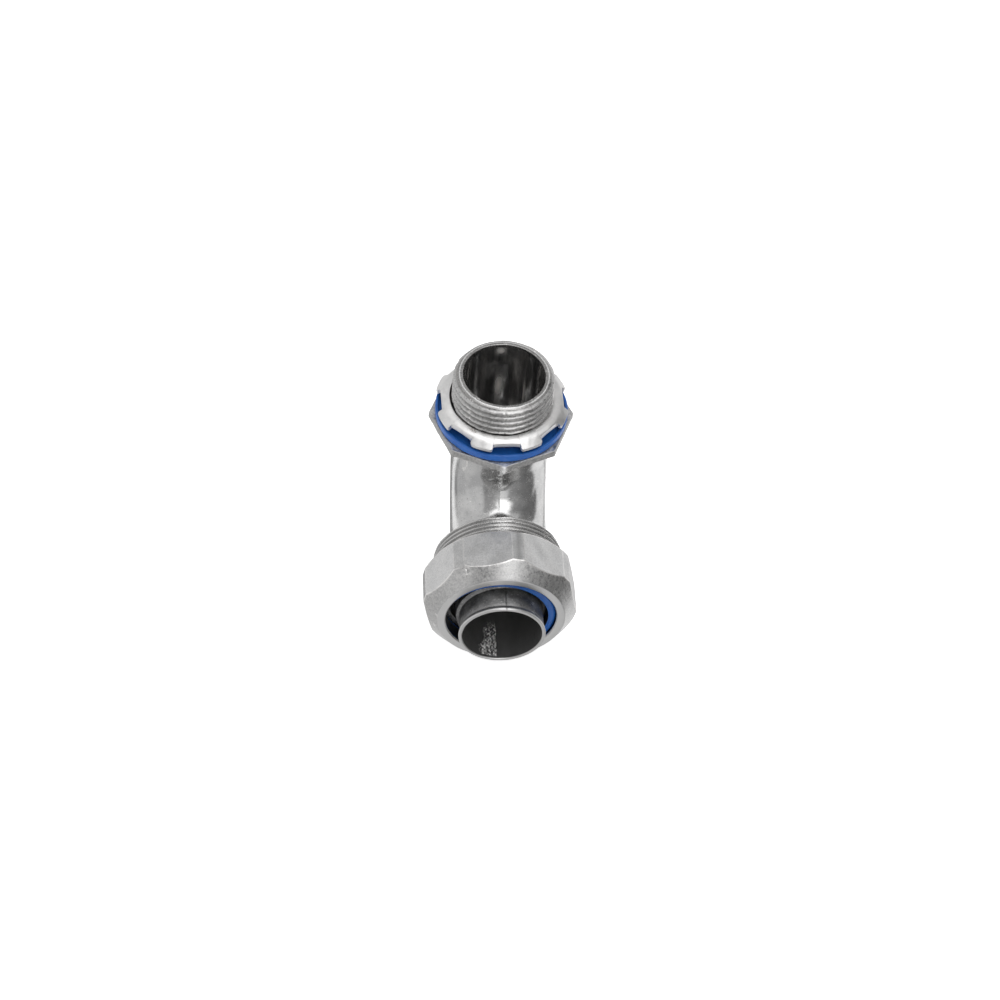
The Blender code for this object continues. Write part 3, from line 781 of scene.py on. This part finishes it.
def build_locknut():
    """A dished stamping: the middle flat, then falling away into the tabs."""
    outline = locknut_outline(44)
    phi = np.unwrap(np.arctan2(outline[:, 1], outline[:, 0]))
    rim = np.hypot(outline[:, 0], outline[:, 1])
    left = smoothstep(0.5 - 0.7 * np.cos(phi + 0.15))   # where the bore is loose

    def top_at(radius):
        fall = [(12.0, LOCKNUT_TOP), (13.8, LOCKNUT_TOP - 0.02), (14.8, LOCKNUT_TOP - 0.17),
                (15.6, LOCKNUT_TOP - 0.42), (16.3, LOCKNUT_TOP - 0.86), (LOCKNUT_TAB_R, LOCKNUT_TOP - 1.72)]
        radii, heights = zip(*fall)
        return np.interp(radius, radii, heights)

    def thickness(radius):
        return np.interp(radius, (13.0, 15.0, LOCKNUT_TAB_R), (LOCKNUT_THICKNESS, 1.5, 1.22))

    def bore(height):
        stands = ridge(phi % TAU, height, HUB_PITCH, HUB_THREAD[0] - 2 * HUB_PITCH, 30.0)
        gap = 0.30 * left
        groove = (LOCKNUT_GROOVE_R + 0.12 - LOCKNUT_BORE_R) * stands * (1 - gap)
        return LOCKNUT_BORE_R + 0.07 + gap + groove

    def opened(height):
        """The bore under its countersink, which is deeper on the loose side."""
        lead_in = 12.6 + 1.15 * left - 0.55 * (LOCKNUT_TOP - height)
        return np.maximum(bore(height), lead_in)

    # Painted shade: the top face darker towards +X and, less, towards -X.
    side_shade = 0.32 * smoothstep((np.cos(phi) - 0.25) / 0.6) + 0.12 * smoothstep((-np.cos(phi) - 0.3) / 0.5)
    rings, zones = [], []

    def ring(radius, height, inside=0.0):
        points = hub_points(phi, radius, height)
        points[..., 2] += 0.02 * ripple(points, 4.0, 41) + 0.010 * ripple(points, 1.4, 42)
        rings.append(points)
        rust = bell(np.degrees(phi) % 360, RUST_AT[0], RUST_SIZE[0])
        zones.append(over(phi, inside, rust * bell(radius, RUST_AT[1], RUST_SIZE[1])))

    # The bore, painted dark as shade.
    for share in np.linspace(0, 1, 15):
        height = LOCKNUT_TOP - 0.18 - share * 1.30
        ring(opened(height), height, 1.0)
    ring(bore(LOCKNUT_TOP - 1.55) + 0.06, LOCKNUT_TOP - LOCKNUT_THICKNESS + 0.04, 1.0)
    for share in (0.04, 0.2, 0.4, 0.6, 0.75, 0.88, 0.95):
        radius = 13.45 * (1 - share) + (rim - 0.12) * share
        ring(radius, top_at(radius) - thickness(radius))
    lean = 0.30 * smoothstep((rim - 16.0) / 1.2)
    for inset, drop in ((0.03, 0.97), (0.0, 0.88), (0.0, 0.6), (0.0, 0.3), (0.0, 0.14), (0.05, 0.04)):
        ring(rim - inset - lean * drop, top_at(rim) - thickness(rim) * drop)
    for share in (0.992, 0.975, 0.93, 0.87, 0.8, 0.72, 0.63, 0.54, 0.45, 0.35, 0.24, 0.12, 0.04):
        radius = 13.8 * (1 - share) + rim * share
        ring(radius, top_at(radius), side_shade)
    ring(opened(LOCKNUT_TOP - 0.1) + 0.08, LOCKNUT_TOP - 0.02, side_shade)
    loft("locknut_look", np.array(rings[::-1]), "locknut", "locknut", plated_steel,
         layers(("inside", "rust"), zones[::-1]))


# ---- the gland nut

def build_gland_nut():
    """An octagon with cut corners under a cone at each end; its rings follow the edges."""
    # Degrees from a corner, crowded at the edges of its flat, then across one side.
    corner = np.array([0.0, 1.8, 3.3, 3.9, NUT_CORNER_HALF_ANGLE, 4.62, 5.2, 6.4, 8.0])
    sector = np.concatenate([-corner[:0:-1], corner, np.linspace(8.0, 37.0, 20)[1:-1]])
    phi = np.radians(np.concatenate([sector + NUT_TURN + 45 * index for index in range(8)]))
    degrees = np.degrees(phi)
    offset = np.tile(sector, 8)
    corner_plane = NUT_CORNER_R * math.cos(math.radians(NUT_CORNER_HALF_ANGLE))
    side_plane = NUT_CORNER_R * math.cos(math.radians(22.5 - NUT_CORNER_HALF_ANGLE))
    near = np.where(offset > 22.5, offset - 45, offset)
    side_r = smooth_min(corner_plane / np.cos(np.radians(near)),
                        side_plane / np.cos(np.radians(np.abs(near) - 22.5)), 0.05)
    wide_r = NUT_CORNER_R + 0.02
    front_slope = (wide_r - NUT_FACE_R) / (NUT_FRONT - NUT_CHAMFER_FROM)
    back_r = wide_r - 1.4

    def front_cone(reach):
        return NUT_FACE_R + (NUT_FRONT - reach) * front_slope

    def back_cone(reach):
        return back_r + (reach - NUT_BACK)

    front_edge = NUT_FRONT - (side_r - NUT_FACE_R) / front_slope
    back_edge = NUT_BACK + (side_r - back_r)
    rings, zones = [], []

    def ring(reach, radius, cast=0.0, bore=0.0, uneven=0.0, face=0.0, edge=0.0, shade=0.0):
        points = conduit_points(phi, radius, reach)
        wave = 0.012 * ripple(points, 5.0, 51) + uneven * ripple(points, 1.1, 52)
        rings.append(conduit_points(phi, radius + wave, reach))
        zones.append(over(phi, cast, bore, face, edge, shade))

    def outside(reach, cast):
        radius = smooth_min(side_r, front_cone(reach), 0.11)
        # A casting flaw by one corner, its pits painted with shadow.
        flaw = bell(degrees, FLAW_AT[0], FLAW_SIZE[0]) * bell(reach, FLAW_AT[1], FLAW_SIZE[1])
        rugged = ripple(conduit_points(phi, radius, reach), 0.85, 53)
        radius = radius - flaw * (0.14 - 0.30 * rugged)
        radius = smooth_min(radius, back_cone(reach), 0.11)
        edge = bell(reach, front_edge, 0.16) + bell(reach, back_edge, 0.16)
        edge = np.maximum(edge, flaw * np.clip(0.6 + 1.2 * rugged, 0, 1))
        border = 0.45 * bell(np.abs(near), NUT_CORNER_HALF_ANGLE, 0.35) * (1.0 - cast)
        edge = np.maximum(edge, border)
        flaw_shadow = flaw * np.clip(-0.2 - 1.4 * rugged, 0, 1)
        # Painted shade: a dark streak along one corner flat.
        shaded_flat = bell(degrees, SHADED_FLAT_AT, 1.3) * (1.0 - cast)
        ring(reach, radius, cast, 0.0, 0.010 * cast, 0.0, edge, np.maximum(shaded_flat, flaw_shadow))

    # Mouth and flat front ring.
    mouth = rounded([(NUT_MOUTH_R, NUT_SEAT[1]), (NUT_MOUTH_R, NUT_FRONT - 0.32),
                     (NUT_MOUTH_R + 0.30, NUT_FRONT), (NUT_FACE_R, NUT_FRONT),
                     (NUT_FACE_R + front_slope, NUT_FRONT - 1.0)], (0.1, 0.2, 0.22), 4)
    for radius, reach in spread(mouth[:-1], 0.45):
        flat = 1.0 if reach > NUT_FRONT - 0.02 else 0.0
        edge = bell(radius, NUT_MOUTH_R + 0.12, 0.16) if reach > NUT_FRONT - 0.4 else 0.0
        # A painted highlight across the top of the front ring.
        painted_face_highlight = 0.9 * flat * bell(degrees, 105, 14)
        edge = np.maximum(edge, painted_face_highlight)
        ring(reach, radius, 0.5 - 0.35 * flat, 0.0, 0.0, flat, edge)
    # Chamfer down to its edge, the sides, the back edge.
    for share in np.linspace(0.14, 1.0, 12)[:-1]:
        outside((NUT_FRONT - 0.12) * (1 - share) + (front_edge + 0.30) * share, 1.0)
    for gap in (0.30, 0.18, 0.09, 0.0, -0.09, -0.18, -0.30):
        outside(front_edge + gap, 1.0 if gap > -0.05 else 0.0)
    for share in np.linspace(0.0, 1.0, 18)[1:-1]:
        outside((front_edge - 0.30) * (1 - share) + (back_edge + 0.30) * share, 0.0)
    for gap in (0.30, 0.18, 0.09, 0.0, -0.09, -0.18):
        outside(back_edge + gap, 0.0)
    low = rounded([(back_r + 0.16, NUT_BACK + 0.16), (back_r, NUT_BACK), (NUT_BORE_R + 0.5, NUT_BACK),
                   (NUT_BORE_R, NUT_BACK + 0.5)], (0.12, 0.12), 4)
    for radius, reach in spread(low, 0.6):
        ring(reach, radius, 0.2)
    # Threaded bore and the seat, painted dark as shade.
    for reach in np.arange(NUT_BACK + 0.62, 38.4, GLAND_PITCH / 9):
        stands = ridge(phi % TAU, reach, GLAND_PITCH, GLAND_THREAD[0], 37.6)
        ring(reach, NUT_BORE_R + (NUT_GROOVE_R - NUT_BORE_R) * stands, 0.2, 0.7)
    seat = rounded([(NUT_BORE_R, 38.6), (NUT_BORE_R, NUT_SEAT[0]), (NUT_MOUTH_R, NUT_SEAT[1])], (0.3,), 3)
    for radius, reach in spread(seat[:-1], 0.5):
        ring(reach, radius, 0.2, 0.9)
    ring(NUT_SEAT[1] - 0.12, NUT_MOUTH_R + 0.1, 0.2, 0.6)
    loft("nut_look", np.array(rings), "gland_nut", "gland_nut", nut_zinc,
         layers(("cast", "bore", "face", "edge", "shade"), zones))


# ---- the ferrule

def build_ferrule():
    """A rolled steel sleeve: flared lip, screw ridge, butt seam, flange and jacket cup."""
    # The points crowd at the butt seam and at the rough strip.
    degrees = stretches(-90.0, (81, 96), (93, 31), (238, 74), (268, 61))
    phi = np.radians(degrees)
    seam = bell(degrees, 87.0, 0.65)
    rings, zones = [], []

    def ring(reach, radius, bore=0.0, lip=0.0, strip=0.0, seam_depth=0.0):
        wave = 0.016 * ripple(conduit_points(phi, radius, reach), 4.0, 61)
        rings.append(conduit_points(phi, radius + wave - seam_depth * seam, reach))
        zones.append(over(phi, bore, lip, strip, 2.2 * seam_depth * seam))

    def ridge_at(reach):
        """How high the screw ridge stands round the sleeve at this reach, from 0 to 1."""
        height = np.zeros_like(phi)
        for turn in range(math.ceil(SCREW_TURNS) + 1):
            along = turn + (degrees + 90) / 360
            centre = SCREW_FROM + SCREW_PITCH * along
            ends = smoothstep(along / 0.35 + 0.25) * smoothstep((SCREW_TURNS - along) / 0.35 + 0.25)
            ends = np.where((along < 0) | (along > SCREW_TURNS), 0.0, ends)
            shape = np.clip((1.1 - np.abs(reach - centre)) / 0.75, 0, 1)
            height = np.maximum(height, smoothstep(shape) * ends)
        return height

    lip = rounded([(FERRULE_BORE_R, 47.6), (10.36, FERRULE_FRONT), (11.28, FERRULE_FRONT), (11.3, 47.8),
                   (FERRULE_NECK_R, 46.9), (FERRULE_NECK_R, 46.2)], (0.28, 0.28, 0.3, 0.4), 6)
    for radius, reach in spread(lip, 0.25):
        ring(reach, radius, 0.0 if reach > 48.0 or radius > 10.7 else 1.0,
             1.0 if reach > 47.9 else 0.25, 0.0, 0.10 if radius > 10.6 else 0.0)
    for reach in (*np.arange(46.1, 37.9, -0.14), *np.arange(37.8, 32.7, -0.25)):
        ring(reach, FERRULE_NECK_R + SCREW_HEIGHT * ridge_at(reach), 0.0, 0.0, 0.0, 0.14)
    cup = rounded([(FERRULE_NECK_R, 32.9), (FERRULE_NECK_R, 32.45), (13.45, 32.45), (13.45, 37.55),
                   (15.9, 37.55), (15.9, 36.8), (14.2, 36.8), (14.2, 31.7), (FERRULE_BORE_R, 31.7),
                   (FERRULE_BORE_R, 32.8)], (0.2, 0.4, 0.3, 0.25, 0.25, 0.3, 0.5, 0.3), 4)
    for radius, reach in spread(cup[1:], 0.8):
        ring(reach, radius)
    # A rough strip of weld scale along the bottom of the bore, sharp on one side.
    for reach in np.arange(33.2, 47.5, 0.2):
        points = conduit_points(phi, FERRULE_BORE_R, reach)
        rough = 0.5 + 0.5 * np.clip(1.3 * ripple(points, 0.9, 62) + 0.7 * ripple(points, 0.45, 63), -1, 1)
        ragged_side = 244.0 - 1.9 * (reach - 41.0) + 5.0 * ripple(points, 1.8, 64)
        strip = smoothstep((degrees - ragged_side) / 6.0) * smoothstep((266.5 - degrees) / 0.8)
        strip = strip * smoothstep((47.6 - reach) / 0.3) * smoothstep((reach - 35.0) / 6.0)
        radius = FERRULE_BORE_R - (0.04 + 0.28 * rough) * strip
        ring(reach, radius, 1.0 - strip * rough, 0.0, strip * rough)
    loft("ferrule_look", np.array(rings), "ferrule", "ferrule", ferrule_steel,
         layers(("bore", "lip", "strip", "seam"), zones))


build_elbow()
build_hub_seal()
build_locknut()
build_gland_ring()
build_gland_nut()
build_ferrule()


# ---- stage, light and camera

def build_floor():
    """A pale floor that stays near white under the shadow and doesn't show in the metal."""
    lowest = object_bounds()[0].z - 0.0002
    size = 3.0
    corners = [(x * size, y * size, lowest) for x, y in ((-1, -1), (1, -1), (1, 1), (-1, 1))]
    mesh = bpy.data.meshes.new("floor")
    mesh.from_pydata(corners, [], [(0, 1, 2, 3)])
    floor = bpy.data.objects.new("floor", mesh)
    bpy.context.scene.collection.objects.link(floor)
    material = bpy.data.materials.new("pale_floor")
    material.use_nodes = True
    shader = material.node_tree.nodes["Principled BSDF"]
    shader.inputs["Base Color"].default_value = (0.93, 0.93, 0.93, 1)
    shader.inputs["Roughness"].default_value = 0.9
    shader.inputs["Emission Color"].default_value = (1, 1, 1, 1)
    shader.inputs["Emission Strength"].default_value = 0.65
    mesh.materials.append(material)
    floor.visible_glossy = False


def azimuth_band(tree, azimuth, stops):
    """Brightness round the horizon, from (degrees, brightness) stops. 0 is -Y and 90 is +X."""
    made = node(tree, "ShaderNodeValToRGB", {"Fac": azimuth})
    elements = made.color_ramp.elements
    for index, (degrees, brightness) in enumerate(stops):
        position = degrees / 360 + 0.5
        stop = elements[index] if index < 2 else elements.new(position)
        stop.position = position
        stop.color = (brightness / 2, brightness / 2, brightness / 2, 1)
    return times(tree, made.outputs["Color"], 2.0)


def build_world():
    """Studio surroundings by direction: pale walls, dark flags and cards, and lights.

    Three bands hold the brightness well below, near and above the horizon; the rest lies over them.
    """
    world = bpy.data.worlds.new("studio")
    bpy.context.scene.world = world
    world.use_nodes = True
    tree = world.node_tree
    facing = node(tree, "ShaderNodeTexCoord").outputs["Generated"]
    parts = node(tree, "ShaderNodeSeparateXYZ", {0: facing}).outputs
    turn = math_node(tree, "ARCTAN2", parts["X"], times(tree, parts["Y"], -1.0))
    azimuth = plus(tree, math_node(tree, "DIVIDE", turn, TAU), 0.5)
    height = parts["Z"]
    low = azimuth_band(tree, azimuth, (
        (-180, 0.90), (-150, 0.92), (-118, 0.74), (-90, 0.68), (-60, 0.66), (0, 0.64), (26, 0.52),
        (46, 0.28), (60, 0.20), (80, 0.16), (83, 1.10), (150, 1.12), (180, 0.95)))
    middle = azimuth_band(tree, azimuth, (
        (-180, 0.75), (-110, 0.74), (-92, 0.76), (-88, 0.36), (-10, 0.36), (0, 0.60), (20, 0.60),
        (26, 0.42), (50, 0.26), (84, 0.18), (95, 0.24), (101, 1.00), (126, 1.30), (150, 1.05), (180, 0.78)))
    high = azimuth_band(tree, azimuth, (
        (-180, 0.50), (-160, 0.62), (-120, 0.68), (-92, 0.70), (-86, 0.38), (-45, 0.38), (-15, 0.46),
        (-2, 0.60), (18, 0.60), (30, 0.44), (50, 0.36), (85, 0.28), (95, 0.50), (115, 0.75),
        (135, 0.80), (160, 0.52), (180, 0.50)))
    lines = azimuth_band(tree, azimuth, (
        (-180, 0.34), (-139, 0.34), (-135, 1.30), (-120, 1.30), (-116, 0.40), (-109, 0.40), (-104, 0.70),
        (0, 0.6), (129, 1.0), (133, 0.40), (139, 0.40), (142, 1.3), (151, 1.3), (154, 0.34), (180, 0.34)))

    def product(*shares):
        total = shares[0]
        for share in shares[1:]:
            total = times(tree, total, share)
        return total

    def between(azimuth_from, azimuth_to, soft):
        """1 where the azimuth is between these two, in degrees, with a soft edge."""
        low_edge, high_edge, width = azimuth_from / 360 + 0.5, azimuth_to / 360 + 0.5, soft / 360
        return product(ramp(tree, azimuth, low_edge - width, low_edge + width),
                       ramp(tree, azimuth, high_edge + width, high_edge - width))

    def cap(azimuth_at, elevation_at, half_angle, soft):
        """1 inside a round light in this direction."""
        a, e = math.radians(azimuth_at), math.radians(elevation_at)
        centre = Vector((math.sin(a) * math.cos(e), -math.cos(a) * math.cos(e), math.sin(e)))
        dot = node(tree, "ShaderNodeVectorMath", {0: facing, 1: centre}, operation="DOT_PRODUCT")
        return ramp(tree, dot.outputs["Value"], math.cos(math.radians(half_angle + soft)),
                    math.cos(math.radians(half_angle - soft)))

    level = blended(tree, ramp(tree, height, -0.20, -0.06), low, middle)
    level = blended(tree, ramp(tree, height, 0.20, 0.40), level, high)
    # The pale wall on the left ends in a straight upright edge; a dark flag stands next to it.
    wall = product(ramp(tree, parts["X"], -0.575, -0.615), ramp(tree, parts["Y"], 0.10, -0.02),
                   ramp(tree, height, -0.20, -0.08))
    level = blended(tree, wall, level, 0.80)
    flag = product(between(-34, -6, 2), ramp(tree, height, -0.80, -0.70),
                   ramp(tree, height, -0.06, -0.14))
    level = blended(tree, flag, level, 0.38)
    # Bright lines behind the object, at the grazing angles.
    window = product(ramp(tree, height, -0.86, -0.80), ramp(tree, height, -0.22, -0.34))
    behind = either(tree, ramp(tree, azimuth, 0.215, 0.205), ramp(tree, azimuth, 0.855, 0.862))
    level = blended(tree, product(window, behind), level, lines)
    # The zenith, the upright strip light in front and the long softbox above it.
    overhead = plus(tree, height, times(tree, parts["Y"], 0.12))
    level = blended(tree, ramp(tree, overhead, 0.90, 0.98), level, 2.10)
    strip = product(between(0, 21, 5), ramp(tree, height, -0.34, -0.27),
                    ramp(tree, height, 0.72, 0.62))
    level = blended(tree, strip, level, 1.05)
    softbox = either(tree, cap(20, 56, 13, 8), cap(34, 70, 11, 8))
    level = blended(tree, softbox, level, 2.4)
    # A dark card on the right, its far edge leaning away with height.
    leaning = math_node(tree, "SUBTRACT", azimuth, times(tree, height, 0.151))
    card = product(ramp(tree, azimuth, 0.733, 0.737), ramp(tree, leaning, 0.807, 0.799),
                   ramp(tree, height, -0.34, -0.30), ramp(tree, height, 0.75, 0.60))
    level = blended(tree, card, level, 0.20)
    seen = node(tree, "ShaderNodeLightPath").outputs["Is Camera Ray"]
    level = blended(tree, seen, level, 1.0)
    background = tree.nodes["Background"]
    background.inputs["Color"].default_value = (1, 1, 1, 1)
    tree.links.new(level, background.inputs["Strength"])


def build_camera():
    """The main view: from 50 degrees up and a little left of the front, slightly rolled."""
    lens, sensor = 72.96, 36.0
    distance, across, up_shift = 529.0, 0.290, 22.887
    yaw, elevation, roll = (math.radians(a) for a in (6.628, 50.150, 5.301))
    back = Vector((-math.sin(yaw) * math.cos(elevation), -math.cos(yaw) * math.cos(elevation),
                   math.sin(elevation)))
    right = Vector((math.cos(yaw), -math.sin(yaw), 0))
    up = back.cross(right)
    across_axis = right * math.cos(roll) + up * math.sin(roll)
    up_axis = up * math.cos(roll) - right * math.sin(roll)
    data = bpy.data.cameras.new("camera")
    data.lens = lens
    data.sensor_width = sensor
    data.clip_start = 0.01
    data.clip_end = 20.0
    camera = bpy.data.objects.new("camera", data)
    bpy.context.scene.collection.objects.link(camera)
    place = Matrix((across_axis, up_axis, back)).transposed().to_4x4()
    place.translation = (back * distance - across_axis * across - up_axis * up_shift) * MM
    camera.matrix_world = place
    bpy.context.scene.camera = camera


build_floor()
build_world()
build_camera()
bpy.context.scene.view_settings.view_transform = "Standard"
